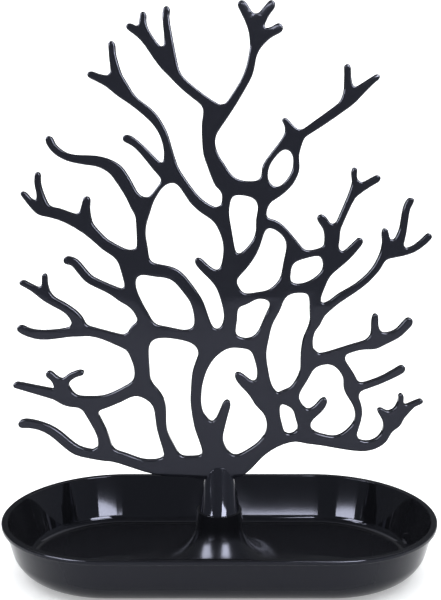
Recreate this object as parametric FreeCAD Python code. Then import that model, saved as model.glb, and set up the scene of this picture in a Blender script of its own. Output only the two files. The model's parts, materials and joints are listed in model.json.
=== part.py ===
import FreeCAD, Part
import math
import os

# Jewelry stand: an obround tray with a trumpet post, and a flat coral tree that plugs into the post.
# X runs left to right, Y runs from front to back, Z is up. Lengths are in mm, angles in degrees.

# Tray
TRAY_L = 240.0
TRAY_W = 125.0
TRAY_H = 28.5
WALL_T = 2.5
FLOOR_T = 2.0
WALL_DRAFT = 17.0
BASE_ROUND = 10.0
FLOOR_ROUND = 5.0
ROUND_BANDS = 4
LIP_H = 3.0
LIP_OUT = 0.9
RIM_EDGE = 0.6

# Post in the middle of the tray, hollow underneath
POST_TOP_R = 12.5
POST_RISE = 2.0
POST_DRAFT = 4.0
POST_FLARE = 20.0
FLARE_BANDS = 6
POST_EDGE = 1.0
FLARE_SINK = 0.3
HOLLOW_T = 3.2

# Peg under the tree and its socket in the post
PEG_L = 14.0
PEG_W = 7.0
PEG_H = 12.0
PEG_ROUND = 2.0
PEG_LEAD = 1.0
PEG_GAP = 0.25
PEG_END_GAP = 1.0

# Bell-shaped foot of the tree
BELL_R = 11.3
BELL_DRAFT = 11.0
BELL_H = 22.3
BELL_ROUND = 6.0
BELL_BANDS = 4

# Foot pads
PAD_D = 12.0
PAD_T = 2.0
PAD_PROUD = 1.0
PAD_GAP = 0.15
PAD_X = 78.0
PAD_Y = 24.0

# Coral tree: width, height above the rim and thickness, and how softly limbs run into each other
TREE_W = 225.0
TREE_H = 275.0
TREE_T = 4.0
LIMB_SWELL = 1.0
FORK_BLEND = 1.0

# How finely the outline of the tree is drawn
LIMB_STEP = 1.5
GRID = 1.0
BUCKET = 6.0
REACH = 9.0
OUTLINE_TOL = 0.35
LINE_TOL = 0.25
LINE_TURN = 0.2
LINE_LEAST = 3.0
ARC_TURN = 2.8
FLAT_TOL = 0.1
TIGHT_R = 15.0
TIGHT_SAG = 0.15
SLOPE_LEAST = 0.3
SETTLE_STEPS = 4
TINY = 1e-9

# Size of the sketch that the limbs below are measured on, and the height of the rim in it
SKETCH_W = 225.0
SKETCH_H = 275.0
SKETCH_RIM_Z = 29.5

# Limbs of the tree, each a smooth line through stations of x, z and width
TREE = {
    "root_left": ((1.5, 53.5, 14.5), (-7, 55, 13.3), (-21, 56, 11.7), (-32.5, 55.5, 9.5),
                  (-44, 57, 6.9), (-56.5, 62, 6.1), (-67.5, 63, 5), (-75, 64, 5.2), (-82, 67.5, 5.3),
                  (-88.5, 74, 5.3), (-98, 79.5, 4.5), (-108, 80.5, 4.7)),
    "link_left": ((-63, 64, 7.8), (-63, 68, 7.2), (-64, 74.5, 6.1), (-68, 82.5, 5.8), (-71, 91, 7.2)),
    "twig33": ((-43, 101.5, 7.7), (-51, 98, 6.6), (-60.5, 93.5, 6.7), (-71, 92, 7.7), (-82, 94.5, 6),
               (-91.5, 97.5, 5.2), (-101, 100, 4.3), (-110.5, 102.5, 3.8)),
    "twig34": ((-83, 95, 7.7), (-86, 101.5, 6.6), (-89, 105, 4.4), (-92.5, 108.5, 3.6)),
    "twig35": ((-85, 101.5, 4.9), (-82.5, 106, 3.6), (-78.5, 108.5, 3.3), (-75, 109.5, 3.2)),
    "mid_left": ((-26.5, 58, 7.8), (-27.5, 66.5, 6.9), (-31, 74.5, 5.3), (-32, 82.5, 5.6),
                 (-32.5, 90.5, 6.9), (-35, 95.5, 8.2), (-41.5, 102.5, 9.9), (-42, 110.5, 8.2),
                 (-43, 118, 9.6), (-44, 124, 11.4), (-43.5, 130.5, 10.9)),
    "twig37": ((-45.5, 125, 8.7), (-52, 126.5, 6.8), (-58.5, 129, 5.2), (-66, 131.5, 4.9),
               (-76.5, 132.5, 5.2), (-85, 131, 4.9), (-92.5, 130, 5.4), (-100, 130.5, 4.9),
               (-107, 133.5, 4.3)),
    "twig40": ((-75.5, 132.5, 5.4), (-76.5, 138.5, 6.5), (-81, 143.5, 4.9), (-86.5, 147, 4.9),
               (-93.5, 151.5, 4.9), (-99.5, 155.5, 3.2), (-105.5, 158.5, 3)),
    "twig39": ((-92.5, 151.5, 4.3), (-93, 154.5, 3.2), (-93.5, 159, 2.7), (-93.5, 162.5, 2.7)),
    "spine_left": ((-43, 130.5, 9.8), (-40.5, 139, 6.8), (-44, 145.5, 6), (-47.5, 153, 6.5),
                   (-48, 158.5, 5.6), (-48, 165.5, 8.6), (-46, 170.5, 10.7)),
    "twig38": ((-46.5, 149, 6.5), (-52.5, 151.5, 6.2), (-57, 154.5, 4.9), (-62.5, 157, 4.6),
               (-69, 160, 4.8), (-73.5, 165, 4.6), (-76.5, 169, 4.6), (-81, 170.5, 4.3)),
    "twig9": ((-47.5, 168.5, 9.7), (-56, 176, 6.2), (-63, 181, 5.6), (-66.5, 185, 6.4),
              (-72, 189.5, 6.9), (-80, 193.5, 5.9), (-87, 196, 5.9), (-93.5, 197.5, 5.9),
              (-97.5, 199.5, 4.8), (-100.5, 202.5, 3.2), (-103.5, 206, 2.7)),
    "twig8": ((-93, 198, 5.3), (-94, 203.5, 4.3), (-95.5, 210, 3.2), (-95.5, 216, 2.9)),
    "twig10": ((-71.5, 191, 7.5), (-71, 197.5, 5.3), (-70, 203, 3.7)),
    "stem_left": ((-43, 171, 8.6), (-41, 178.5, 5.4), (-41.5, 183, 4.7), (-41.5, 189, 4.8),
                  (-41, 196, 6.9), (-42.5, 201, 8)),
    "twig7": ((-41.5, 197.5, 6.9), (-46, 205, 6.1), (-49.5, 211.5, 7.2), (-53.5, 217.5, 7.4),
              (-59.5, 221.5, 6.6), (-67.5, 223.5, 5.7), (-75, 224, 4.1), (-81, 225.5, 4), (-86, 229, 4),
              (-89, 234, 4.2)),
    "thin_link": ((-40.5, 197.5, 6.4), (-36.5, 202.5, 4.3), (-33.5, 206.5, 2.2), (-30, 211, 2.1),
                  (-27, 215, 3.7)),
    "limb_b": ((-26, 217, 7.4), (-26, 222.5, 6.1), (-27, 228.5, 4.7), (-28, 234, 4.6),
               (-32, 242.5, 4.5), (-37, 248, 5), (-44.5, 254, 5.2), (-50, 259, 6.5), (-53.5, 263, 6.8)),
    "twig4": ((-51.5, 262, 7.3), (-54, 270.5, 4.7), (-55, 277, 3.4), (-55.5, 282.5, 3.4)),
    "twig5": ((-50.5, 259, 6.3), (-55, 262.5, 5.7), (-61, 265, 4.2), (-66.5, 267, 3.6)),
    "twig6": ((-27, 216, 6.9), (-33.5, 221, 5), (-38.5, 227, 4.2), (-43.5, 232, 4.1),
              (-48.5, 234.5, 4.2)),
    "limb_c": ((-26.5, 217.5, 7.4), (-21, 214, 5), (-17, 208, 5.1), (-12.5, 202, 5.8), (-7.5, 198, 6.1),
               (-2.5, 195, 6.9), (2.5, 189.5, 5.9)),
    "arch": ((-45, 170, 9.7), (-38.5, 166.5, 7.5), (-31, 165, 6.6), (-24.5, 163.5, 6.6),
             (-19, 158, 5.9), (-13.5, 151, 6.2), (-10.5, 144, 7), (-9, 136.5, 8.1),
             (-7.5, 129.5, 10.9)),
    "link_mid": ((-43, 130, 9.8), (-36.5, 132, 7.6), (-27.5, 131.5, 5.4), (-20, 130, 5.2),
                 (-10.5, 129.5, 8.2)),
    "trunk_left": ((-1, 58, 16.7), (-4.5, 69.5, 11.1), (-8.5, 78, 9.9), (-12, 86.5, 6.2),
                   (-13, 94.5, 6), (-12.5, 102.5, 6.3), (-11, 110.5, 7.4), (-8, 117, 7.6),
                   (-4, 125.5, 10.9)),
    "finger32": ((-4, 70.5, 10), (0, 80.5, 6.6), (2.5, 87, 5), (4, 92.5, 4.7)),
    "trunk": ((-8, 128, 10.9), (0.5, 127, 9.8), (5.5, 135.5, 7.1), (6, 142.5, 7.9), (5, 150.5, 8.6),
              (4, 158.5, 8.1), (5.5, 166.5, 9.7), (5.5, 175.5, 5.9), (4, 184.5, 5.9), (2, 193.5, 5.9),
              (3.5, 201, 4.3), (4, 206, 5.3), (1.5, 213.5, 8.5), (-1, 219.5, 7.7), (-4, 224.5, 7.7),
              (-5.5, 234, 7.1), (-4.5, 243.5, 8.9), (-3, 248.5, 7.9)),
    "finger41": ((5, 154.5, 8.6), (-0.5, 160, 6.5), (-7, 165.5, 4.9), (-11.5, 170.5, 4.6)),
    "limb_a": ((-3, 247.5, 7.9), (-10, 255.5, 4.7), (-18.5, 262, 5), (-25, 270.5, 6.2),
               (-29, 276, 7.8)),
    "twig1": ((-25.5, 274, 6.8), (-25.5, 281.5, 4.9), (-26.5, 288, 3.9), (-27.5, 294, 3.6),
              (-27, 299.5, 3.6)),
    "twig2": ((-26.5, 272, 6.8), (-32.5, 279, 6.2), (-36.5, 285, 5.2), (-39, 291.5, 3.6),
              (-39, 297, 3.2)),
    "twig3": ((-37, 285, 4.7), (-42.5, 289, 3.9), (-46, 291, 3.6)),
    "limb_top": ((-4, 241.5, 7.4), (0.5, 245.5, 6.8), (5.5, 251.5, 5.2), (11, 259.5, 4.4),
                 (15.5, 268.5, 4.4), (17.5, 277, 4.2), (19.5, 284.5, 5.7)),
    "twig11": ((19, 285.5, 5.7), (17.5, 292.5, 6.2), (14, 298, 4.9), (11.5, 302, 4.4)),
    "twig12": ((19, 290.5, 6.2), (23.5, 298, 4.6), (26.5, 302, 4.4)),
    "twig13": ((20, 284.5, 5.7), (26.5, 288.5, 4.7), (30.5, 290.5, 4.5)),
    "loop_base": ((-0.5, 217.5, 8.5), (3.5, 212, 9), (10, 209.5, 8), (18.5, 208.5, 8), (23.5, 208, 8)),
    "loop_left": ((22.5, 208, 6.4), (23.5, 215, 3.4), (25, 222, 3.2), (28.5, 226.5, 3.2),
                  (32.5, 231, 3.7), (37.5, 234.5, 6.3)),
    "loop_right": ((25, 205, 6.9), (33, 208, 4.2), (38, 213, 4), (40.5, 219.5, 3.4), (40.5, 224.5, 2.9),
                   (39.5, 231, 5.3)),
    "twig16": ((39, 233.5, 7.4), (37.5, 237.5, 5.8), (36, 241.5, 3.7), (34, 244, 2.6)),
    "limb_d": ((39, 233.5, 7.4), (44, 237.5, 4.3), (50.5, 241.5, 4.7), (58, 246.5, 4.9),
               (64.5, 251.5, 5.2), (68, 256, 5.8)),
    "twig14": ((67.5, 255.5, 5.8), (67, 260, 4.4), (66.5, 265.5, 3.2), (66, 271, 3.1)),
    "twig15": ((67, 254.5, 5.8), (72, 258.5, 5), (77.5, 263, 3.7), (81.5, 266, 3.1)),
    "window_right": ((22.5, 207, 7.4), (23.5, 200, 5.3), (22.5, 195, 4.1), (22, 188.5, 4.3),
                     (19.5, 179.5, 5.1), (15, 172.5, 7), (8, 166.5, 9.7)),
    "limb_e": ((22, 191.5, 4.3), (28, 190.5, 4.3), (33, 187.5, 4.5), (37.5, 182, 4.3),
               (40.5, 175.5, 7)),
    "bridge_e": ((40, 175, 6.4), (49.5, 174.5, 3.1), (55.5, 175, 4.3), (60, 172, 8.6)),
    "window_e": ((40, 175, 6.4), (36, 166, 4.4), (35, 159.5, 5.4), (32, 154, 6.5)),
    "link_e": ((6.5, 154, 8.6), (13.5, 149.5, 5.9), (21.5, 152, 3.1), (28, 152, 5.4), (34, 155, 6.5),
               (40.5, 155.5, 3.9), (47.5, 156, 5.7), (52.5, 157.5, 7)),
    "limb_f": ((60.5, 172.5, 8.6), (59.5, 167, 5.4), (56, 162, 5.1), (52, 154, 6.5), (51.5, 147, 5.1),
               (52.5, 141.5, 7), (50.5, 134.5, 4.6), (48, 129, 5.2), (47.5, 122.5, 6.5),
               (48, 115.5, 7.6), (46.5, 108.5, 6), (42.5, 101.5, 4.9), (39, 94.5, 6.6)),
    "twig19": ((60, 173, 7.5), (59.5, 179.5, 6.7), (59, 185.5, 6.4), (56.5, 189.5, 4.8),
               (54, 193, 4.5)),
    "twig17": ((60.5, 182, 6.4), (63.5, 190.5, 3.5), (67, 198, 3.3), (70, 205, 3.7), (72, 209, 4.2),
               (71, 214.5, 2.6), (71, 218.5, 2.6)),
    "twig18": ((71.5, 208, 4.2), (74.5, 209, 4.2), (79, 211.5, 3.7), (83, 214, 3.7)),
    "twig20": ((61, 170, 7.5), (67, 172.5, 5.4), (71.5, 177, 4.6), (74.5, 181, 3.7)),
    "limb_g": ((52.5, 142.5, 7), (58.5, 146, 4.6), (65, 151, 4.3), (72, 155, 3.8), (78.5, 160, 3.8),
               (84, 166.5, 3.8), (88, 173.5, 4.3), (91, 177, 5.9)),
    "twig23": ((90, 176, 5.9), (88.5, 182, 3.6), (88, 186.5, 3.1)),
    "twig21": ((92.5, 177, 6.4), (97, 184.5, 4.3), (98, 190.5, 4), (98.5, 197, 3.7), (101, 202.5, 3.7)),
    "twig22": ((90.5, 175.5, 5.4), (97, 175, 4.3), (103, 176.5, 3.8), (107.5, 179.5, 3.5),
               (111, 183.5, 3.5)),
    "limb_h": ((48, 116, 7.6), (56, 117, 6), (62, 118.5, 6.5), (67.5, 121.5, 4.6), (74, 123.5, 3.8),
               (82, 125.5, 5.4), (88.5, 128, 6), (95.5, 130.5, 4.9), (99.5, 134.5, 4.9),
               (102, 137.5, 4.6)),
    "twig24": ((84.5, 126.5, 7.1), (84.5, 130.5, 5.4), (84, 135, 3.5), (84, 140.5, 3)),
    "link_right": ((63.5, 117.5, 6.6), (68, 111.5, 5.5), (71, 106, 6.6), (72, 100.5, 7.1),
                   (74.5, 93, 4.4), (76.5, 86.5, 3.6), (74.5, 79, 3.7), (70.5, 72, 7.2)),
    "twig26": ((71.5, 101, 6.6), (78.5, 102, 3.8), (85.5, 104, 3.6), (93, 107.5, 3.8),
               (99, 111.5, 4.1)),
    "centre_right": ((31, 152.5, 7), (30.5, 146, 6), (26, 137.5, 5.4), (24, 130.5, 6), (22, 124.5, 7.6),
                     (22, 118, 6.8), (23.5, 111.5, 5.7), (24, 104, 7.7), (25.5, 96.5, 11),
                     (28, 90.5, 9.6), (29.5, 84, 7.7), (30.5, 76.5, 9.9), (28, 69, 11.1)),
    "finger31": ((24, 93.5, 9.9), (17.5, 100.5, 6.6), (12.5, 105, 5.5), (10, 108, 4.7)),
    "link_h5": ((-4, 124.5, 9.8), (5, 127, 7.6), (13.5, 125.5, 4.9), (21, 125.5, 7.1)),
    "root_right": ((3.5, 53.5, 15.6), (12.5, 57.5, 11.1), (22, 64, 9.4), (31, 69, 10), (40, 71.5, 6.1),
                   (48, 73, 7.2), (61.5, 70.5, 5.5), (70.5, 70, 8.3), (81.5, 68, 5.3), (89.5, 72, 5.3),
                   (92.5, 78, 5.1), (95, 83.5, 7.7)),
    "strip_h": ((36, 96, 7.7), (41, 92.5, 5.5), (44.5, 87, 5.8), (46.5, 80.5, 5.5), (47, 74.5, 6.6)),
    "finger30": ((45.5, 84, 7.2), (51, 86.5, 5.1), (55, 90, 5), (57, 94, 4.4)),
    "twig29": ((94, 82, 6.6), (92, 84.5, 5.5), (90, 86, 4.1), (88, 88, 3.3)),
    "twig27": ((95.5, 83, 7.2), (98, 88, 5), (99, 92.5, 3), (99, 96.5, 2.7)),
    "twig28": ((96.5, 82.5, 7.2), (101, 88, 5), (106, 91.5, 3), (110, 93.5, 2.7)),
}

V = FreeCAD.Vector
ORIGIN = V(0, 0, 0)
UP = V(0, 0, 1)
BASE_Z = PAD_PROUD
RIM_Z = BASE_Z + TRAY_H
FLOOR_Z = BASE_Z + FLOOR_T
POST_Z = RIM_Z + POST_RISE
END_R = TRAY_W/2
END_X = (TRAY_L - TRAY_W)/2


def rise(angle):
    return math.tan(math.radians(angle))


def rounded_face(corners, bands):
    """Face in the XZ plane from corners of x, z and radius, each round drawn as a few straight bands."""
    points = [V(x, 0, z) for x, z, radius in corners]
    edges = []
    runs = []
    for k, (x, z, radius) in enumerate(corners):
        here = points[k]
        if radius == 0:
            runs.append((here, here))
            continue
        to_last = (points[k - 1] - here).normalize()
        to_next = (points[(k + 1) % len(points)] - here).normalize()
        half = to_last.getAngle(to_next)/2
        inward = (to_last + to_next).normalize()
        first = here + to_last*(radius/math.tan(half))
        last = here + to_next*(radius/math.tan(half))
        arc = Part.Arc(first, here + inward*(radius/math.sin(half) - radius), last)
        steps = arc.discretize(bands + 1)
        edges.extend(Part.LineSegment(p, q).toShape() for p, q in zip(steps, steps[1:]))
        runs.append((first, last))
    for (first, last), (start, end) in zip(runs, runs[1:] + runs[:1]):
        if last.distanceToPoint(start) > TINY:
            edges.append(Part.LineSegment(last, start).toShape())
    return Part.Face(Part.Wire(Part.__sortEdges__(edges)))


def turned(corners, bands):
    """Solid of revolution about the Z axis, with its round corners in bands."""
    return rounded_face(corners, bands).revolve(ORIGIN, UP, 360)


def obround(corners):
    """The section carried round the tray's outline: half a turn at one end and one long side, twice."""
    section = rounded_face(corners, ROUND_BANDS)
    section.rotate(ORIGIN, UP, -90)
    section.translate(V(END_X, 0, 0))
    end = section.revolve(V(END_X, 0, 0), UP, 180)
    side = section.extrude(V(-2*END_X, 0, 0))
    half = end.fuse(side)
    other = half.copy()
    other.rotate(ORIGIN, UP, 180)
    return half.fuse(other).removeSplitter()


def trumpet(low_z):
    """The post: a round stem with a draft that flares out into the floor, eased at its top."""
    foot = POST_TOP_R + (POST_Z - low_z)*rise(POST_DRAFT)
    wide = foot + POST_FLARE
    under = low_z - FLARE_SINK
    edge = POST_TOP_R + POST_EDGE*rise(POST_DRAFT)
    return turned([(0, under, 0), (wide, under, 0), (wide, low_z, 0), (foot, low_z, POST_FLARE),
                   (edge, POST_Z - POST_EDGE, 0), (POST_TOP_R - POST_EDGE, POST_Z, 0), (0, POST_Z, 0)],
                  FLARE_BANDS)


def peg(grow, low_z, high_z):
    """Upright peg with rounded corners, or its socket when it is grown by the gap."""
    length = PEG_L + 2*grow
    width = PEG_W + 2*grow
    block = Part.makeBox(length, width, high_z - low_z, V(-length/2, -width/2, low_z))
    upright = [edge for edge in block.Edges if edge.BoundBox.ZLength > (high_z - low_z)/2]
    return block.makeFillet(PEG_ROUND + grow, upright)


def disc(radius, low_z, high_z, place):
    return Part.makeCylinder(radius, high_z - low_z, place + UP*low_z)


def pad_places():
    return [V(x, y, 0) for x in (-PAD_X, PAD_X) for y in (-PAD_Y, PAD_Y)]


def make_tray():
    wall_top = END_R - LIP_OUT
    base_r = wall_top - TRAY_H*rise(WALL_DRAFT)
    lip_z = RIM_Z - LIP_H
    lip_r = wall_top - LIP_H*rise(WALL_DRAFT)
    outside = [(0, BASE_Z, 0), (base_r, BASE_Z, BASE_ROUND), (lip_r, lip_z, 0), (END_R, lip_z + LIP_OUT, 0),
               (END_R, RIM_Z - RIM_EDGE, 0), (END_R - RIM_EDGE, RIM_Z, 0), (0, RIM_Z, 0)]
    inner_r = wall_top - WALL_T
    floor_r = inner_r - (RIM_Z - FLOOR_Z)*rise(WALL_DRAFT)
    brim_r = inner_r + RIM_EDGE
    inside = [(0, FLOOR_Z, 0), (floor_r, FLOOR_Z, FLOOR_ROUND),
              (inner_r - RIM_EDGE*rise(WALL_DRAFT), RIM_Z - RIM_EDGE, 0), (brim_r, RIM_Z, 0),
              (brim_r, RIM_Z + RIM_EDGE, 0), (0, RIM_Z + RIM_EDGE, 0)]
    tray = obround(outside).cut(obround(inside)).fuse(trumpet(FLOOR_Z - FLARE_SINK))
    socket_z = POST_Z - PEG_H - PEG_END_GAP
    hollow_z = socket_z - HOLLOW_T
    top_r = POST_TOP_R + (POST_Z - hollow_z)*rise(POST_DRAFT) - HOLLOW_T
    hollow = Part.makeCone(top_r + hollow_z*rise(POST_DRAFT), top_r, hollow_z)
    socket = peg(PEG_GAP, socket_z, POST_Z + PEG_H)
    recesses = [disc(PAD_D/2 + PAD_GAP, 0, PAD_T, place) for place in pad_places()]
    return tray.cut([hollow, socket] + recesses).removeSplitter()


def limb_chain(stations):
    """Points along a smooth line through the stations, each with the limb's half width there."""
    wide = TREE_W/SKETCH_W
    tall = TREE_H/SKETCH_H
    places = [V(x*wide, 0, RIM_Z + (z - SKETCH_RIM_Z)*tall) for x, z, width in stations]
    axis = Part.BSplineCurve()
    axis.interpolate(places)
    knots = [axis.parameter(place) for place in places]
    chain = []
    for k in range(len(places) - 1):
        count = max(2, round(places[k].distanceToPoint(places[k + 1])/LIMB_STEP))
        for n in range(count):
            share = n/count
            at = axis.value(knots[k] + (knots[k + 1] - knots[k])*share)
            width = stations[k][2] + (stations[k + 1][2] - stations[k][2])*share
            chain.append((at.x, at.z, width*LIMB_SWELL/2))
    chain.append((places[-1].x, places[-1].z, stations[-1][2]*LIMB_SWELL/2))
    return chain


def bucket_pieces():
    """The limbs cut into short tapered pieces, listed by the squares of the plane that they can reach."""
    buckets = {}
    for name, stations in TREE.items():
        chain = limb_chain(stations)
        for (ax, az, ar), (bx, bz, br) in zip(chain, chain[1:]):
            dx = bx - ax
            dz = bz - az
            piece = (ax, az, ar, dx, dz, br - ar, max(dx*dx + dz*dz, TINY))
            far = max(ar, br) + REACH
            columns = range(int((min(ax, bx) - far)//BUCKET), int((max(ax, bx) + far)//BUCKET) + 1)
            rows = range(int((min(az, bz) - far)//BUCKET), int((max(az, bz) + far)//BUCKET) + 1)
            for i in columns:
                for j in rows:
                    buckets.setdefault((i, j), {}).setdefault(name, []).append(piece)
    return buckets


def piece_gap(piece, x, z):
    """Distance from a point to one piece of a limb, and the direction away from it."""
    ax, az, ar, dx, dz, dr, length2 = piece
    share = ((x - ax)*dx + (z - az)*dz)/length2
    share = min(1.0, max(0.0, share))
    ox = x - ax - share*dx
    oz = z - az - share*dz
    off = max(math.hypot(ox, oz), TINY)
    return off - ar - share*dr, ox/off, oz/off


def field(buckets, x, z):
    """Signed distance to all limbs, blended where they meet, and its slope."""
    total = 0.0
    gx = 0.0
    gz = 0.0
    for group in buckets.get((int(x//BUCKET), int(z//BUCKET)), {}).values():
        gap, ox, oz = min(piece_gap(piece, x, z) for piece in group)
        share = math.exp(-gap/FORK_BLEND)
        total = total + share
        gx = gx + share*ox
        gz = gz + share*oz
    if total < TINY:
        return REACH, 0.0, 0.0
    return -FORK_BLEND*math.log(total), gx/total, gz/total


def outline_loops(buckets):
    """Closed chains of points where the blended limbs end, found square by square."""
    columns = [i for i, j in buckets]
    rows = [j for i, j in buckets]
    across = range(int(min(columns)*BUCKET/GRID), int((max(columns) + 1)*BUCKET/GRID))
    upward = range(int(min(rows)*BUCKET/GRID), int((max(rows) + 1)*BUCKET/GRID))
    value = {(i, j): field(buckets, i*GRID, j*GRID)[0] for i in across for j in upward}
    follow = {}
    for i in across[:-1]:
        for j in upward[:-1]:
            ring = ((i, j), (i + 1, j), (i + 1, j + 1), (i, j + 1))
            leave = []
            enter = []
            for a, b in zip(ring, ring[1:] + ring[:1]):
                if value[a] < 0 <= value[b]:
                    leave.append((min(a, b), max(a, b)))
                elif value[b] < 0 <= value[a]:
                    enter.append((min(a, b), max(a, b)))
            follow.update(zip(enter, leave))
    loops = []
    while follow:
        at = next(iter(follow))
        loop = []
        while at in follow:
            a, b = at
            share = value[a]/(value[a] - value[b])
            loop.append(((a[0] + (b[0] - a[0])*share)*GRID, (a[1] + (b[1] - a[1])*share)*GRID))
            at = follow.pop(at)
        loops.append(loop)
    return loops


def on_outline(buckets, x, z):
    """The nearest point of the outline, and the direction along it with the tree on the right."""
    for again in range(SETTLE_STEPS):
        gap, gx, gz = field(buckets, x, z)
        slope = max(math.hypot(gx, gz), SLOPE_LEAST)
        x = x - gap*gx/slope**2
        z = z - gap*gz/slope**2
    gap, gx, gz = field(buckets, x, z)
    slope = math.hypot(gx, gz)
    return V(x, 0, z), V(gz/slope, 0, -gx/slope)


def arc_centre(start, way, end):
    """Centre and radius of the arc that leaves start along way and ends at end."""
    chord = end - start
    side = V(-way.z, 0, way.x)
    lean = side.dot(chord)
    if abs(lean) < TINY:
        return None, 0.0
    radius = chord.dot(chord)/(2*lean)
    return start + side*radius, abs(radius)


def arc_edges(start, way, end):
    """The arc that leaves start along way: a line if it hardly bends, short lines in a tight bend."""
    chord = end - start
    turn = 2*way.getAngle(chord)
    if chord.Length*math.tan(turn/4)/2 < FLAT_TOL:
        return [Part.LineSegment(start, end).toShape()]
    centre, radius = arc_centre(start, way, end)
    outward = ((start - centre) + (end - centre)).normalize()
    arc = Part.Arc(start, centre + outward*radius, end)
    if radius > TIGHT_R:
        return [arc.toShape()]
    step = 2*math.acos(1 - TIGHT_SAG/radius)
    corners = arc.discretize(1 + math.ceil(turn/step))
    return [Part.LineSegment(p, q).toShape() for p, q in zip(corners, corners[1:])]


def pair_joint(start, way, end, last):
    """Where two arcs meet that leave start along way and reach end along last, and their way there."""
    chord = end - start
    bend = 2*(1 - way.dot(last))
    lean = chord.dot(way + last)
    if bend < TINY:
        reach = chord.dot(chord)/(2*lean)
    else:
        reach = (math.sqrt(lean*lean + bend*chord.dot(chord)) - lean)/bend
    joint = (start + end + (way - last)*reach)*0.5
    step = (joint - start).normalize()
    return joint, step*(2*step.dot(way)) - way


def pair_fits(run):
    """Whether two tangent arcs from the first node of a run to its last one stay on the outline."""
    start, way = run[0]
    end, last = run[-1]
    joint, middle = pair_joint(start, way, end, last)
    one = arc_centre(start, way, joint)
    two = arc_centre(joint, middle, end)
    for at, along in run[1:-1]:
        centre, radius = one if (at - joint).dot(middle) < 0 else two
        if centre is None or abs(at.distanceToPoint(centre) - radius) > OUTLINE_TOL:
            return False
    return True


def line_fits(run):
    """Whether a straight line does as well, with hardly a corner at its ends."""
    chord = run[-1][0] - run[0][0]
    if max(chord.getAngle(run[0][1]), chord.getAngle(run[-1][1])) > LINE_TURN:
        return False
    side = V(-chord.z, 0, chord.x).normalize()
    return all(abs(side.dot(at - run[0][0])) < LINE_TOL for at, along in run[1:-1])


def longest_run(nodes, first, fits, turn):
    """The nodes from one on that a line or a pair of arcs can follow."""
    count = 2
    turned_by = nodes[first][1].getAngle(nodes[first + 1][1])
    while first + count < len(nodes):
        turned_by = turned_by + nodes[first + count - 1][1].getAngle(nodes[first + count][1])
        if turned_by > turn or not fits(nodes[first:first + count + 1]):
            break
        count = count + 1
    return nodes[first:first + count]


def loop_wire(buckets, loop):
    """The loop as tangent arcs, and as straight lines where a limb runs straight."""
    nodes = [on_outline(buckets, x, z) for x, z in loop]
    nodes.append(nodes[0])
    edges = []
    first = 0
    while first < len(nodes) - 1:
        run = longest_run(nodes, first, line_fits, ARC_TURN)
        if run[0][0].distanceToPoint(run[-1][0]) > LINE_LEAST and line_fits(run):
            edges.append(Part.LineSegment(run[0][0], run[-1][0]).toShape())
        else:
            run = longest_run(nodes, first, pair_fits, ARC_TURN)
            joint, middle = pair_joint(*run[0], *run[-1])
            edges.extend(arc_edges(*run[0], joint))
            edges.extend(arc_edges(joint, middle, run[-1][0]))
        first = first + len(run) - 1
    return Part.Wire(edges)


def make_plate():
    """The flat coral: the blended outline of all limbs, as thick as the sheet."""
    buckets = bucket_pieces()
    wires = [loop_wire(buckets, loop) for loop in outline_loops(buckets)]
    sheet = Part.makeFace(wires, "Part::FaceMakerBullseye")
    sheet.translate(V(0, -TREE_T/2, 0))
    return sheet.extrude(V(0, TREE_T, 0))


def make_tree():
    """The coral with its bell-shaped foot and the peg under it, one moulding."""
    top_r = BELL_R - BELL_H*rise(BELL_DRAFT)
    bell = turned([(0, POST_Z, 0), (BELL_R, POST_Z, 0), (top_r, POST_Z + BELL_H, BELL_ROUND),
                   (0, POST_Z + BELL_H, 0)], BELL_BANDS)
    plug = peg(0, POST_Z - PEG_H, POST_Z + PEG_W)
    lower = [edge for edge in plug.Edges if edge.BoundBox.ZMax < POST_Z - PEG_H + PEG_LEAD]
    return make_plate().fuse([bell, plug.makeChamfer(PEG_LEAD, lower)]).removeSplitter()


os.makedirs("parts", exist_ok=True)
pieces = {"tray": make_tray(), "coral_tree": make_tree()}
for number, place in enumerate(pad_places(), 1):
    pieces["foot_pad_%d" % number] = disc(PAD_D/2, 0, PAD_T, place)
for name, piece in pieces.items():
    solid = piece.Solids[0]
    print(name, "solids", len(piece.Solids), "valid", solid.isValid(), "volume", round(solid.Volume))
    solid.exportStep("parts/" + name + ".step")
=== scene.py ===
# %% [markdown]
# A jewelry stand in black moulded plastic: a flat coral to hang chains on, standing in an obround tray.
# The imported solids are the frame. Each visible piece is modelled again here with soft edges and a finish,
# sits where its solid sits, and rides on the same body, so that the tree still lifts off its post.

# %% Load the frame
import json
import math

import bpy
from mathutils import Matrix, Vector

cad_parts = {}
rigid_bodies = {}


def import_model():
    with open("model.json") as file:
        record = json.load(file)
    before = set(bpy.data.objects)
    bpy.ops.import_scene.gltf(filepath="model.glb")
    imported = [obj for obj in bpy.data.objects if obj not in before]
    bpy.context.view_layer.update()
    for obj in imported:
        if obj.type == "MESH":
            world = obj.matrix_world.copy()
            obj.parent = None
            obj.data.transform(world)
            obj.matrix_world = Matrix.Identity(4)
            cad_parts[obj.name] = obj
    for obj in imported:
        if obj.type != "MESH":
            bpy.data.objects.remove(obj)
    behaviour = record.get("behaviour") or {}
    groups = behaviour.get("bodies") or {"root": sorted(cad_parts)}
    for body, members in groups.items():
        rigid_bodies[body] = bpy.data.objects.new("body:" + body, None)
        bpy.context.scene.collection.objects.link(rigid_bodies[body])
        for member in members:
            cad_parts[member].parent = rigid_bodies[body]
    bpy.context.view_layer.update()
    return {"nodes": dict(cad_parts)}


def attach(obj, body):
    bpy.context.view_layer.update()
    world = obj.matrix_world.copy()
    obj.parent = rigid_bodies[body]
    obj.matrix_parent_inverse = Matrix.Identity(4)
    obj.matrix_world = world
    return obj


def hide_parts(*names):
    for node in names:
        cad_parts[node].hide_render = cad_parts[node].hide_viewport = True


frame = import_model()
MM = 0.001

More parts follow.
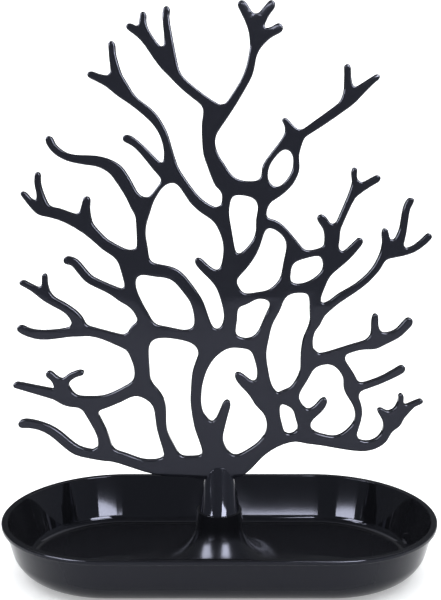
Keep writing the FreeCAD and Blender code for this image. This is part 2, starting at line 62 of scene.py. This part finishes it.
# %% [markdown]
# An operator works on whatever is selected, and loading leaves the solids selected, so every step starts from
# nothing selected. A section is drawn as by hand: one vertex, extruded from corner to corner. Corners that are
# round on the real piece are given as short steps round an arc, because the mould's rounds are true arcs.

# %% Helpers for drawing sections
LEVEL, SAME = 1e-5, 1e-6
SMOOTH_ANGLE, FACE_WEIGHT = math.radians(35), 80


def arc_steps(last, here, next_one, radius, steps):
    """Points round a corner between two straight runs, in the plane of r and z."""
    to_last = (last - here).normalized()
    to_next = (next_one - here).normalized()
    half = to_last.angle(to_next)/2
    centre = here + (to_last + to_next).normalized()*(radius/math.sin(half))
    first = here + to_last*(radius/math.tan(half)) - centre
    turn = first.angle_signed(here + to_next*(radius/math.tan(half)) - centre)
    start = math.atan2(first.y, first.x)
    angles = [start - turn*k/steps for k in range(steps + 1)]
    return [centre + Vector((math.cos(a), math.sin(a)))*radius for a in angles]


def rounded_chain(corners):
    """Corners of r, z, radius and steps in mm become points in metres, with the arcs filled in."""
    flat = [Vector((r, z)) for r, z, radius, steps in corners]
    points = []
    for k, (r, z, radius, steps) in enumerate(corners):
        if radius:
            points.extend(arc_steps(flat[k - 1], flat[k], flat[k + 1], radius, steps))
        else:
            points.append(flat[k])
    return [p*MM for p in points]


def start_point(name, place):
    """A new mesh with one selected vertex at a place, in edit mode."""
    bpy.ops.object.select_all(action="DESELECT")
    bpy.ops.mesh.primitive_plane_add(size=MM)
    piece = bpy.context.object
    piece.name = name
    piece.data.name = name
    bpy.ops.object.mode_set(mode="EDIT")
    bpy.ops.mesh.select_mode(type="VERT")
    bpy.ops.mesh.select_all(action="SELECT")
    bpy.ops.mesh.merge(type="CENTER")
    bpy.ops.transform.translate(value=place)
    return piece


def extrude_through(places):
    """Extrudes the selected vertex from place to place."""
    for here, there in zip(places, places[1:]):
        bpy.ops.mesh.extrude_region_move(TRANSFORM_OT_translate={"value": there - here})


def draw_section(name, corners, middle=Vector((0, 0, 0))):
    """Draws a section whose r runs to the front from the point middle, and leaves all of it selected."""
    places = [middle + Vector((0, -p.x, p.y)) for p in rounded_chain(corners)]
    piece = start_point(name, places[0])
    extrude_through(places)
    bpy.ops.mesh.select_all(action="SELECT")
    return piece


def close_mesh(merge=0.01):
    """Merges doubled vertices, turns the faces outwards and goes back to object mode."""
    bpy.ops.mesh.select_all(action="SELECT")
    bpy.ops.mesh.remove_doubles(threshold=merge*MM)
    bpy.ops.mesh.normals_make_consistent(inside=False)
    bpy.ops.object.mode_set(mode="OBJECT")


def pick_verts(piece, test):
    """Selects the vertices that pass the test, and only those, in edit mode."""
    bpy.ops.object.mode_set(mode="EDIT")
    bpy.ops.mesh.select_mode(type="VERT")
    bpy.ops.mesh.select_all(action="DESELECT")
    bpy.ops.object.mode_set(mode="OBJECT")
    for vert in piece.data.vertices:
        vert.select = test(vert.co)
    bpy.ops.object.mode_set(mode="EDIT")


def pick_edges(piece, test):
    """Selects the edges whose two vertices pass the test, and only those, in edit mode."""
    bpy.ops.object.mode_set(mode="EDIT")
    bpy.ops.mesh.select_mode(type="EDGE")
    bpy.ops.mesh.select_all(action="DESELECT")
    bpy.ops.object.mode_set(mode="OBJECT")
    for edge in piece.data.edges:
        edge.select = test(*[piece.data.vertices[k] for k in edge.vertices])
    bpy.ops.object.mode_set(mode="EDIT")


def only(piece):
    """Makes a piece the one selected and active object."""
    bpy.ops.object.select_all(action="DESELECT")
    piece.select_set(True)
    bpy.context.view_layer.objects.active = piece


def combine(piece, tool, how):
    """Joins a tool to a piece or cuts it out, and deletes the tool."""
    only(piece)
    step = piece.modifiers.new(how.lower(), "BOOLEAN")
    step.operation = how
    step.solver = "EXACT"
    step.object = tool
    bpy.ops.object.modifier_apply(modifier=step.name)
    bpy.data.objects.remove(tool)


def smooth(piece):
    """Smooth shading that leaves the crisp edges crisp and lets the large faces set the normals."""
    only(piece)
    bpy.ops.object.shade_smooth_by_angle(angle=SMOOTH_ANGLE)
    step = piece.modifiers.new("even_normals", "WEIGHTED_NORMAL")
    step.keep_sharp = True
    step.weight = FACE_WEIGHT
    bpy.ops.object.modifier_apply(modifier=step.name)
    print(piece.name, len(piece.data.vertices), "vertices", len(piece.data.polygons), "faces")


def size_mm(piece):
    return [round(v/MM, 2) for v in piece.dimensions]


# %% [markdown]
# The tray is one moulding: a shallow obround dish with walls that lean out, a little less outside than inside, a
# raised band round the rim, a soft turn into the floor and a post in the middle. A box with bevels would never give
# the flowing wall, so its section is drawn once and carried round: half a turn, a straight run, half a turn, and
# back.

# %% Tray wall
TRAY_L, TRAY_W, TRAY_H = 240, 125, 28.5
WALL_T, FLOOR_T = 2.5, 2.0
WALL_LEAN, OUTER_LEAN = math.tan(math.radians(17)), math.tan(math.radians(15.5))
BASE_ROUND, FLOOR_ROUND = 17, 5
LIP_H, LIP_OUT, RIM_ROUND, LIP_ROUND = 3, 0.9, 0.8, 0.35
FLOOR_STEPS, RIM_STEPS, LIP_STEPS, BASE_STEPS, END_STEPS = 12, 5, 3, 14, 56
BASE_Z = 1
RIM_Z = BASE_Z + TRAY_H
FLOOR_Z = BASE_Z + FLOOR_T
END_R = TRAY_W/2
END_X = (TRAY_L - TRAY_W)/2*MM

wall_r = END_R - LIP_OUT
base_r = wall_r - TRAY_H*OUTER_LEAN
lip_z = RIM_Z - LIP_H
lip_r = wall_r - LIP_H*OUTER_LEAN
inner_r = wall_r - WALL_T
floor_r = inner_r - (RIM_Z - FLOOR_Z)*WALL_LEAN
FLOOR_RING, BASE_RING = 40, 38
wall_section = [
    (FLOOR_RING, FLOOR_Z, 0, 0),
    (floor_r, FLOOR_Z, FLOOR_ROUND, FLOOR_STEPS),
    (inner_r, RIM_Z, RIM_ROUND, RIM_STEPS),
    (END_R, RIM_Z, RIM_ROUND, RIM_STEPS),
    (END_R, lip_z + LIP_OUT, LIP_ROUND, LIP_STEPS),
    (lip_r, lip_z, LIP_ROUND, LIP_STEPS),
    (base_r, BASE_Z, BASE_ROUND, BASE_STEPS),
    (BASE_RING, BASE_Z, 0, 0),
]
tray = draw_section("tray_body", wall_section, Vector((END_X, 0, 0)))
for end in (END_X, -END_X):
    bpy.ops.mesh.spin(steps=END_STEPS, angle=-math.pi, center=(end, 0, 0), axis=(0, 0, 1))
    bpy.ops.mesh.extrude_region_move(TRANSFORM_OT_translate={"value": (-2*end, 0, 0)})
close_mesh()
print("tray wall", len(tray.data.vertices), "vertices", size_mm(tray))

# %% [markdown]
# The post is a trumpet: a stem with a slight draft that flares out until it is level with the floor. It is a turned
# shape, so its section is spun once round. Where it meets the floor it has to be exactly tangent, or the gloss
# would show a ring, so it ends level with the floor and the floor is filled in between the two outlines.

# %% Post
POST_TOP_R, POST_RISE, POST_DRAFT = 12.5, 2, math.radians(4)
POST_FLARE, POST_EDGE = 22.5, 0.15
FLARE_STEPS, POST_EDGE_STEPS, TURN_STEPS, FLOOR_SLACK = 18, 4, 112, 0.1
POST_LEAN = math.tan(POST_DRAFT)
POST_Z = RIM_Z + POST_RISE
flare_r = POST_TOP_R + (POST_Z - FLOOR_Z)*POST_LEAN
FLARE_RING = flare_r + POST_FLARE*math.tan(math.pi/4 - POST_DRAFT/2)
post_section = [
    (FLARE_RING, FLOOR_Z, 0, 0),
    (flare_r, FLOOR_Z, POST_FLARE, FLARE_STEPS),
    (POST_TOP_R, POST_Z, POST_EDGE, POST_EDGE_STEPS),
    (0, POST_Z, 0, 0),
]
post = draw_section("post", post_section)
bpy.ops.mesh.spin(steps=TURN_STEPS, angle=2*math.pi, center=(0, 0, 0), axis=(0, 0, 1))
close_mesh()

only(tray)
post.select_set(True)
bpy.ops.object.join()
at_floor = FLOOR_Z*MM
within = (FLOOR_RING + FLOOR_SLACK)*MM
pick_verts(tray, lambda co: abs(co.z - at_floor) < LEVEL and math.hypot(max(abs(co.x) - END_X, 0), co.y) < within)
bpy.ops.mesh.fill(use_beauty=True)
at_base = BASE_Z*MM
pick_verts(tray, lambda co: abs(co.z - at_base) < LEVEL)
bpy.ops.mesh.select_non_manifold(extend=False, use_wire=False, use_multi_face=False,
                                 use_non_contiguous=False, use_verts=False)
bpy.ops.mesh.edge_face_add()
close_mesh()
print("tray closed", len(tray.data.vertices), "vertices")

# %% [markdown]
# Under the dish the post is hollow, the top of the post has a socket for the tree's peg, and four shallow seats take
# the foot pads. They are cut out with simple tools, as a machinist would sink them.

# %% Hollow, socket and pad seats
PEG_L, PEG_W, PEG_H, PEG_ROUND, PEG_GAP, PEG_END_GAP = 14, 7, 12, 2, 0.25, 1
HOLLOW_T, HOLLOW_ROUND = 3.2, 1.5
PEG_STEPS, HOLLOW_STEPS, CUT_STEPS = 6, 5, 64
PAD_D, PAD_T, PAD_GAP, PAD_X, PAD_Y = 12, 2, 0.15, 78, 24
PAD_PLACES = [(x, y) for x in (-PAD_X, PAD_X) for y in (-PAD_Y, PAD_Y)]


def peg_block(name, grow, low_z, high_z):
    """Upright block with its four long edges rounded."""
    bpy.ops.object.select_all(action="DESELECT")
    bpy.ops.mesh.primitive_cube_add(size=1)
    block = bpy.context.object
    block.name = name
    bpy.ops.object.mode_set(mode="EDIT")
    bpy.ops.mesh.select_all(action="SELECT")
    bpy.ops.transform.resize(value=((PEG_L + 2*grow)*MM, (PEG_W + 2*grow)*MM, (high_z - low_z)*MM))
    bpy.ops.transform.translate(value=(0, 0, (low_z + high_z)/2*MM))
    pick_edges(block, lambda one, two: abs(one.co.z - two.co.z) > MM)
    bpy.ops.mesh.bevel(offset=(PEG_ROUND + grow)*MM, segments=PEG_STEPS, affect="EDGES")
    bpy.ops.object.mode_set(mode="OBJECT")
    return block


def turned(name, corners, steps):
    """A closed round solid from a section that starts and ends on the axis."""
    piece = draw_section(name, corners)
    bpy.ops.mesh.spin(steps=steps, angle=2*math.pi, center=(0, 0, 0), axis=(0, 0, 1))
    close_mesh()
    return piece


socket_z = POST_Z - PEG_H - PEG_END_GAP
hollow_z = socket_z - HOLLOW_T
hollow_r = POST_TOP_R + (POST_Z - hollow_z)*POST_LEAN - HOLLOW_T
hollow = turned("hollow", [(0, -BASE_Z, 0, 0), (hollow_r + (hollow_z + BASE_Z)*POST_LEAN, -BASE_Z, 0, 0),
                           (hollow_r, hollow_z, HOLLOW_ROUND, HOLLOW_STEPS), (0, hollow_z, 0, 0)], CUT_STEPS)
combine(tray, hollow, "DIFFERENCE")
combine(tray, peg_block("socket", PEG_GAP, socket_z, POST_Z + PEG_END_GAP), "DIFFERENCE")
for x, y in PAD_PLACES:
    bpy.ops.object.select_all(action="DESELECT")
    bpy.ops.mesh.primitive_cylinder_add(vertices=CUT_STEPS, radius=(PAD_D/2 + PAD_GAP)*MM, depth=2*PAD_T*MM,
                                        location=(x*MM, y*MM, 0))
    combine(tray, bpy.context.object, "DIFFERENCE")
smooth(tray)

# %% [markdown]
# The coral is a flat plate, cut to a branching outline, with its edges softly rounded on both faces. Extruding a mesh
# and bevelling it would pinch in the tight forks. So the outline is taken from the flat front of the solid, turned
# into smooth closed curves, and filled: a flat curve has a thickness, a bevel and an inward offset of its own, and
# all its holes stay open.

# %% Coral outline from the solid's front face
TREE_T, TREE_EDGE, WELD = 4, 0.8, 0.02
BELL_R, BELL_H = 11.3, 22.3
bell_top = POST_Z + BELL_H

only(frame["nodes"]["coral_tree"])
bpy.ops.object.duplicate()
coral = bpy.context.object
coral.name = "coral"
for key in list(coral.keys()):
    del coral[key]
coral.parent = None
bpy.ops.object.mode_set(mode="EDIT")
bpy.ops.mesh.select_all(action="SELECT")
bpy.ops.mesh.remove_doubles(threshold=WELD*MM)
front_y = -TREE_T/2*MM
pick_verts(coral, lambda co: abs(co.y - front_y) > LEVEL)
bpy.ops.mesh.delete(type="VERT")
bpy.ops.mesh.select_mode(type="EDGE")
bpy.ops.mesh.select_all(action="SELECT")
bpy.ops.mesh.region_to_loop()
bpy.ops.mesh.select_all(action="INVERT")
bpy.ops.mesh.delete(type="EDGE_FACE")
bpy.ops.object.mode_set(mode="OBJECT")
print("outline", len(coral.data.vertices), "vertices", len(coral.data.edges), "edges")

# %% [markdown]
# On the solid, the bell-shaped foot interrupts the front face. The plate runs on inside the foot and fills out into a
# broad root, so the stretch of outline along the root is taken out, from the foot to both sides, and drawn again from
# listed points as the photo shows it.

# %% Root of the coral
INSIDE_FOOT = 9.2*MM
ROOT_LINE = [(-40, 52.6), (-31, 51), (-22, 50.5), (-15, 50), (-9, 49), (0, 48), (8, 49), (12, 50.6), (16, 53.3),
             (19.5, 57), (23.3, 61.5), (28.5, 65.8), (35, 69.2), (42, 71)]
ROOT_LEFT, ROOT_RIGHT = -46*MM, 48*MM
pick_verts(coral, lambda co: abs(co.x) < INSIDE_FOOT and co.z < bell_top*MM + MM)
bpy.ops.mesh.delete(type="VERT")
bpy.ops.object.mode_set(mode="OBJECT")


def neighbours(piece):
    """For each vertex, the vertices that an edge joins it to."""
    near = [[] for vert in piece.data.vertices]
    for edge in piece.data.edges:
        one, two = edge.vertices
        near[one].append(two)
        near[two].append(one)
    return near


near = neighbours(coral)
places = [vert.co.copy() for vert in coral.data.vertices]
taken = set()
for end in [k for k, joined in enumerate(near) if len(joined) == 1]:
    here = end
    while here is not None and ROOT_LEFT < places[here].x < ROOT_RIGHT:
        taken.add(here)
        here = next((k for k in near[here] if k not in taken), None)
pick_verts(coral, lambda co: False)
bpy.ops.object.mode_set(mode="OBJECT")
for k in taken:
    coral.data.vertices[k].select = True
bpy.ops.object.mode_set(mode="EDIT")
bpy.ops.mesh.delete(type="VERT")
bpy.ops.object.mode_set(mode="OBJECT")

ends = [k for k, joined in enumerate(neighbours(coral)) if len(joined) == 1]
left_end, right_end = sorted((coral.data.vertices[k].co.copy() for k in ends), key=lambda co: co.x)
root = [left_end] + [Vector((x*MM, front_y, z*MM)) for x, z in ROOT_LINE]
pick_verts(coral, lambda co: (co - left_end).length < SAME)
extrude_through(root)
pick_verts(coral, lambda co: (co - root[-1]).length < SAME or (co - right_end).length < SAME)
bpy.ops.mesh.edge_face_add()
print("root from", round(left_end.x/MM, 1), "to", round(right_end.x/MM, 1), "mm,", len(taken), "vertices replaced")

# %% [markdown]
# The outlines of the openings have points close together in their corners and far apart elsewhere. They are spaced
# evenly first, because softening a line by its points then rounds its corners and leaves its long runs alone.

# %% Even points round the openings
EVEN_STEP, HALVINGS = 1.5*MM, 3
SHORT, LONG = EVEN_STEP/2, 1.5*EVEN_STEP
top_z = max(vert.co.z for vert in coral.data.vertices)


def pick_openings():
    """Selects every loop but the outer one, which holds the highest point."""
    pick_verts(coral, lambda co: co.z > top_z - SAME)
    bpy.ops.mesh.select_linked()
    bpy.ops.mesh.select_all(action="INVERT")


pick_openings()
bpy.ops.mesh.remove_doubles(threshold=SHORT)
for k in range(HALVINGS):
    pick_openings()
    bpy.ops.object.mode_set(mode="OBJECT")
    points = {vert.index for vert in coral.data.vertices if vert.select}
    pick_edges(coral, lambda one, two: one.index in points and (one.co - two.co).length > LONG)
    bpy.ops.mesh.subdivide(number_cuts=1)
    print("openings with", len(points), "points before halving their long edges")
bpy.ops.mesh.select_mode(type="VERT")

# %% [markdown]
# The outline is laid flat and becomes a set of closed curves, the outer line and the openings. The openings are
# softened all round. On the outer line only the tight forks are, because softening the tips would shorten the twigs.

# %% Soft closed curves
SHORTEST_LOOP, CURVE_ORDER, CURVE_STEPS = 12, 3, 2
SOFTEN, FORK_SOFTEN, FORK_STEP = 11, 40, 1.3*MM
bpy.ops.mesh.select_all(action="SELECT")
bpy.ops.transform.translate(value=(0, -front_y, 0))
bpy.ops.object.mode_set(mode="OBJECT")

coral.rotation_mode = "XYZ"
coral.rotation_euler = (-math.pi/2, 0, 0)
only(coral)
bpy.ops.object.transform_apply(location=False, rotation=True, scale=False)
bpy.ops.object.convert(target="CURVE")
coral = bpy.context.object
line = coral.data
line.dimensions = "2D"
line.fill_mode = "BOTH"
for spline in [spline for spline in line.splines if len(spline.points) < SHORTEST_LOOP]:
    line.splines.remove(spline)
outer = max(range(len(line.splines)), key=lambda number: len(line.splines[number].points))
for spline in line.splines:
    spline.type = "NURBS"
    spline.use_cyclic_u = True
    spline.order_u = CURVE_ORDER
    spline.resolution_u = CURVE_STEPS
hole_points = [(number, k) for number, spline in enumerate(line.splines) if number != outer
               for k in range(len(spline.points))]
places = [point.co.xy for point in line.splines[outer].points]
steps = [here - before for before, here in zip(places[-1:] + places, places)]
area = sum(before.cross(here) for before, here in zip(places[-1:] + places, places))
fork_points = [(outer, k) for k, (step, ahead) in enumerate(zip(steps, steps[1:] + steps[:1]))
               if step.cross(ahead)*area < 0 and max(step.length, ahead.length) < FORK_STEP]
bpy.ops.object.mode_set(mode="EDIT")
for chosen, times in ((hole_points, SOFTEN), (fork_points, FORK_SOFTEN)):
    bpy.ops.curve.select_all(action="DESELECT")
    for number, k in chosen:
        line.splines[number].points[k].select = True
    for k in range(times):
        bpy.ops.curve.smooth()
bpy.ops.object.mode_set(mode="OBJECT")
print(len(line.splines), "loops, softened", len(hole_points), "points of openings and", len(fork_points), "of forks")

# %% Plate with rounded edges
EDGE_STEPS, PLATE_WELD = 3, 0.002
line.extrude = (TREE_T/2 - TREE_EDGE)*MM
line.bevel_depth = TREE_EDGE*MM
line.bevel_resolution = EDGE_STEPS
line.offset = -TREE_EDGE*MM
bpy.ops.object.convert(target="MESH")
coral = bpy.context.object
coral.rotation_euler = (math.pi/2, 0, 0)
bpy.ops.object.transform_apply(location=False, rotation=True, scale=False)
bpy.ops.object.mode_set(mode="EDIT")
close_mesh(PLATE_WELD)
print("plate", size_mm(coral), len(coral.data.polygons), "faces")

# %% [markdown]
# The foot starts as a round stem on the post and thins towards the plate, faster from front to back than from side to
# side, until it is lost in the plate under two round shoulders. It is raised ring by ring, each ring a little smaller
# than the last. A peg goes under it. Foot, peg and plate are one moulding, so they are joined into one closed mesh.

# %% Foot and peg
FOOT_RINGS, FOOT_STEPS, FOOT_H = 24, 96, 27.4
FOOT_TAPER, FOOT_LEAN, FOOT_SKIRT, SKIRT_H = 0.168, 0.339, 0.8, 5
SHOULDER_FROM, SHOULDER_ROUND = 12, 0.0097
bpy.ops.object.select_all(action="DESELECT")
bpy.ops.mesh.primitive_circle_add(vertices=FOOT_STEPS, radius=BELL_R*MM, fill_type="NGON", location=(0, 0, 0))
bell = bpy.context.object
bell.name = "bell"
bpy.ops.object.mode_set(mode="EDIT")
bpy.ops.mesh.select_all(action="SELECT")
bpy.ops.transform.translate(value=(0, 0, POST_Z*MM))
half, depth = BELL_R, BELL_R
for k in range(1, FOOT_RINGS + 1):
    rise = FOOT_H*k/FOOT_RINGS
    new_half = BELL_R - FOOT_TAPER*rise - SHOULDER_ROUND*max(0, rise - SHOULDER_FROM)**2
    new_depth = BELL_R - FOOT_LEAN*rise - FOOT_SKIRT*(1 - math.exp(-rise/SKIRT_H))
    bpy.ops.mesh.extrude_region_move(TRANSFORM_OT_translate={"value": (0, 0, FOOT_H/FOOT_RINGS*MM)})
    bpy.ops.transform.resize(value=(new_half/half, new_depth/depth, 1))
    half, depth = new_half, new_depth
close_mesh()
combine(coral, bell, "UNION")
combine(coral, peg_block("peg", 0, POST_Z - PEG_H, POST_Z + PEG_W), "UNION")
smooth(coral)

# %% [markdown]
# The pads are plain discs of soft rubber with an eased lower edge. Each is turned as a mesh of its own and moved to its
# seat.

# %% Foot pads
PAD_EDGE, PAD_EDGE_STEPS, PAD_STEPS = 0.4, 4, 48
pad_section = [(0, 0, 0, 0), (PAD_D/2, 0, PAD_EDGE, PAD_EDGE_STEPS), (PAD_D/2, PAD_T, 0, 0), (0, PAD_T, 0, 0)]
pads = []
for number, (x, y) in enumerate(PAD_PLACES, 1):
    pad = turned("pad_%d" % number, pad_section, PAD_STEPS)
    bpy.ops.object.mode_set(mode="EDIT")
    bpy.ops.mesh.select_all(action="SELECT")
    bpy.ops.transform.translate(value=(x*MM, y*MM, 0))
    bpy.ops.object.mode_set(mode="OBJECT")
    smooth(pad)
    pads.append(pad)

# %% [markdown]
# Shader maths reads best as plain expressions, so a small class wraps a socket: adding or multiplying two of them adds
# the node that does it. Every other node comes from one function that takes its settings and its inputs.

# %% Shader helper


class Value:
    """A socket in a material's nodes that can be added, multiplied and subtracted."""

    def __init__(self, tree, socket):
        self.tree = tree
        self.socket = socket

    def maths(self, operation, first, second):
        return node(self.tree, "ShaderNodeMath", {"operation": operation}, {0: first, 1: second})

    def __add__(self, other):
        return self.maths("ADD", self, other)

    def __sub__(self, other):
        return self.maths("SUBTRACT", self, other)

    def __rsub__(self, other):
        return self.maths("SUBTRACT", other, self)

    def __mul__(self, other):
        return self.maths("MULTIPLY", self, other)

    __radd__ = __add__
    __rmul__ = __mul__


def node(tree, kind, settings, inputs, output=0):
    """Adds a node with its settings first, then its input values or links, and gives one output."""
    made = tree.nodes.new(kind)
    for name, value in settings.items():
        setattr(made, name, value)
    for name, value in inputs.items():
        if isinstance(value, Value):
            tree.links.new(value.socket, made.inputs[name])
        else:
            made.inputs[name].default_value = value
    return Value(tree, made.outputs[output])


def new_material(name, colour, constants):
    """A Principled material with its constant numbers set on its own sockets."""
    material = bpy.data.materials.new(name)
    material.use_nodes = True
    tree = material.node_tree
    shader = tree.nodes["Principled BSDF"]
    shader.inputs["Base Color"].default_value = (*colour, 1)
    for socket, number in constants.items():
        shader.inputs[socket].default_value = number
    place = node(tree, "ShaderNodeTexCoord", {}, {}, "Object")
    return material, tree, shader, place


def feed(tree, value, shader, socket):
    tree.links.new(value.socket, shader.inputs[socket])


# %% [markdown]
# The plastic is a glossy black, and its gloss has a hint of blue. A moulded gloss is never a perfect mirror: it has a
# slow waviness from cooling and a fine haze from handling. Both are noises in the material, one in the normal and one
# in the roughness. Round the post the haze is stronger, because the bright patches on the flare are blurred in the
# photo.

# %% Black moulded plastic
GLOSS = {"IOR": 1.4, "Specular Tint": (0.76, 0.79, 1.0, 1)}
SLOW = {"Scale": 28.0, "Detail": 2.0, "Roughness": 0.5}
FINE = {"Scale": 900.0, "Detail": 3.0, "Roughness": 0.6}
POST_MIDDLE, HAZE_FROM, HAZE_TO = 0.03, 0.042, 0.06
MOTTLE, WAVE_DEPTH = 1.35, 0.0004


def black_plastic(name, colour, shine, haze, wave, post_haze):
    """A black with its shine, its haze, its waviness and the haze that the post adds."""
    material, tree, shader, place = new_material(name, colour, {**GLOSS, "Specular IOR Level": shine})
    slow, fine = [node(tree, "ShaderNodeTexNoise", {}, {"Vector": place, **noise}) for noise in (SLOW, FINE)]
    x, y, z = [node(tree, "ShaderNodeSeparateXYZ", {}, {"Vector": place}, axis) for axis in "XYZ"]
    off_post = x*x + y*y + (z - POST_MIDDLE)*(z - POST_MIDDLE)
    by_post = node(tree, "ShaderNodeMapRange", {},
                   {"Value": off_post, 1: HAZE_FROM**2, 2: HAZE_TO**2, 3: post_haze, 4: 0.0})
    rough = by_post + haze*(0.6 + 0.5*slow + 0.3*fine)
    feed(tree, rough, shader, "Roughness")
    lighter = tuple(c*MOTTLE for c in colour)
    mixed = node(tree, "ShaderNodeMix", {"data_type": "RGBA"}, {"Factor": slow, 6: (*colour, 1), 7: (*lighter, 1)}, 2)
    feed(tree, mixed, shader, "Base Color")
    bump = node(tree, "ShaderNodeBump", {}, {"Strength": wave, "Distance": WAVE_DEPTH, "Height": slow + 0.04*fine})
    feed(tree, bump, shader, "Normal")
    print(name, "haze", haze, "wave", wave)
    return material


tray_finish = black_plastic("tray_gloss_black", (0.0064, 0.0066, 0.0082), 0.25, 0.045, 0.02, 0.17)
tree_finish = black_plastic("tree_gloss_black", (0.0082, 0.0085, 0.0116), 0.33, 0.07, 0.03, 0.0)

# %% [markdown]
# The pads are a dense dark rubber, matt and a little dusty, with a fine grain.

# %% Pad rubber
pad_finish, tree_nodes, shader, place = new_material("pad_rubber_dark", (0.02, 0.02, 0.021), {})
grain = node(tree_nodes, "ShaderNodeTexNoise", {}, {"Vector": place, "Scale": 1400.0, "Detail": 2.0})
feed(tree_nodes, 0.7 + 0.2*grain, shader, "Roughness")
feed(tree_nodes, node(tree_nodes, "ShaderNodeBump", {}, {"Strength": 0.3, "Distance": 0.0001, "Height": grain}),
     shader, "Normal")
print(pad_finish.name, "with grain")

# %% [markdown]
# Each piece now gets its finish, takes the place of its solid and rides on that solid's body.

# %% Dress, replace and ride
dressed = [(tray, tray_finish, "tray_plastic", "tray", "tray"),
           (coral, tree_finish, "tree_plastic", "tree", "coral_tree")]
for number, pad in enumerate(pads, 1):
    dressed.append((pad, pad_finish, "pad_rubber", "tray", "foot_pad_%d" % number))
for piece, finish, slot, body, solid in dressed:
    piece.data.materials.clear()
    piece.data.materials.append(finish)
    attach(piece, body)
    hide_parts(solid)
print("pieces", [piece.name for piece, *rest in dressed])

# %% [markdown]
# The stand is photographed on plain white. A wide pale sheet lies under it and glows a little, like a light table, and
# another curves up behind it into a backdrop, so that no horizon shows. Gloss black shows whatever faces it, so the
# backdrop and the far front of the floor are kept out of the reflections, as they are by black flags in a studio.

# %% Floor and backdrop
GLOW = {"Emission Color": (1, 1, 1, 1), "Emission Strength": 0.33}
paper = new_material("pale_paper", (0.9, 0.9, 0.9), {"Roughness": 0.9, **GLOW})[0]
FLOOR_HALF, FRONT_Y, NEAR_Y, JOIN_Y = 10, -10, -0.9, 0.6
SWEEP_R, SWEEP_STEPS, BACK_H = 0.8, 16, 3.2


def sheet(name, run):
    """A wide sheet of paper along a run of y and z."""
    places = [Vector((-FLOOR_HALF, y, z)) for y, z in run]
    piece = start_point(name, places[0])
    extrude_through(places)
    bpy.ops.mesh.select_all(action="SELECT")
    bpy.ops.mesh.extrude_region_move(TRANSFORM_OT_translate={"value": (2*FLOOR_HALF, 0, 0)})
    close_mesh()
    piece.data.materials.append(paper)
    smooth(piece)
    return piece


turns = [math.pi/2*k/SWEEP_STEPS for k in range(SWEEP_STEPS + 1)]
sweep = [(JOIN_Y + SWEEP_R*math.sin(t), SWEEP_R - SWEEP_R*math.cos(t)) for t in turns]
sheet("pale_table", [(NEAR_Y, 0), (JOIN_Y, 0)])
front = sheet("pale_front", [(FRONT_Y, 0), (NEAR_Y, 0)])
backdrop = sheet("pale_backdrop", sweep + [(JOIN_Y + SWEEP_R, BACK_H)])
for far in (front, backdrop):
    far.visible_glossy = False

# %% [markdown]
# The light is a big soft ceiling in a dim room, which is brighter in front and at the sides. Two tall soft boxes stand
# close in front for the bright patches on the flared post, three windows far off draw the patches along the back of the
# dish, and a weak light behind gives the back of the coral its sheen. These six are for the gloss alone, so they leave
# the paper evenly lit. The ceiling is the reverse: it lights the paper and stays out of the gloss.

# %% Light
ROOM, IN_FRONT, TO_RIGHT, AT_SIDES = 0.35, 0.27, 0.15, 0.3
AIM = Vector((0, 0.05, 0.01))
world = bpy.data.worlds.new("dim_room")
bpy.context.scene.world = world
world.use_nodes = True
room = world.node_tree.nodes["Background"]
room.inputs["Color"].default_value = (0.9, 0.95, 1.0, 1)
way = node(world.node_tree, "ShaderNodeTexCoord", {}, {}, "Generated")
right, back = [node(world.node_tree, "ShaderNodeSeparateXYZ", {}, {"Vector": way}, axis) for axis in "XY"]
feed(world.node_tree, ROOM - IN_FRONT*back + TO_RIGHT*right + AT_SIDES*right*right, room, "Strength")


def lamp(name, place, aim, width, height, power):
    """A rectangular soft light at a place, turned to face a point."""
    light = bpy.data.lights.new(name, "AREA")
    light.shape = "RECTANGLE"
    light.size = width
    light.size_y = height
    light.energy = power
    holder = bpy.data.objects.new(name, light)
    bpy.context.scene.collection.objects.link(holder)
    holder.location = place
    holder.rotation_euler = (Vector(aim) - Vector(place)).to_track_quat("-Z", "Y").to_euler()
    return holder


def panel(name, left, right, low, high, distance, glow, roll=0):
    """A light for the gloss alone: the angles that it covers as seen from the dish, how far it is and how bright."""
    side, up = math.radians((left + right)/2), math.radians((low + high)/2)
    width = 2*distance*math.tan(math.radians(right - left)/2)
    height = 2*distance*math.tan(math.radians(high - low)/2)
    way = Vector((math.sin(side)*math.cos(up), -math.cos(side)*math.cos(up), math.sin(up)))
    holder = lamp(name, AIM + way*distance, AIM, width, height, glow*math.pi*width*height)
    holder.rotation_euler.rotate_axis("Z", math.radians(roll))
    holder.visible_diffuse = False
    print(name, round(width, 2), "by", round(height, 2), "m")


ceiling = lamp("ceiling", (0, 0.1, 1.8), (0, 0.05, 0), 3.6, 3.0, 60)
ceiling.visible_glossy = False
panel("window_right", 6.5, 28, 11.2, 12.65, 30, 46)
panel("window_strip", -0.5, 6, 11.2, 12.05, 30, 40)
panel("window_left", -46.5, -23.5, 9, 11.7, 30, 42, 3.4)
panel("soft_box_right", 14, 36, 20, 52, 1.2, 46)
panel("soft_box_left", -64, -38, 20, 52, 1.2, 38)
panel("back_light", 150, 210, 45, 75, 3, 1.5)

# %% [markdown]
# The camera stands a little above the middle of the tree, close by, and looks slightly down, which shows the floor of
# the dish through its open top.

# %% Camera
CAMERA_PLACE = Vector((0.63, -480, 224.2))*MM
LOOK_DOWN = math.radians(8.88)
view = bpy.data.cameras.new("front_camera")
view.sensor_fit = "VERTICAL"
view.sensor_height = 36
view.sensor_width = 36
view.lens = 54.25
view.clip_start = 0.01
camera = bpy.data.objects.new("front_camera", view)
bpy.context.scene.collection.objects.link(camera)
camera.location = CAMERA_PLACE
camera.rotation_euler = (math.pi/2 - LOOK_DOWN, 0, 0)
bpy.context.scene.camera = camera
bpy.context.scene.view_settings.view_transform = "Standard"
print("camera", [round(v, 3) for v in camera.location], "lens", round(view.lens, 2))
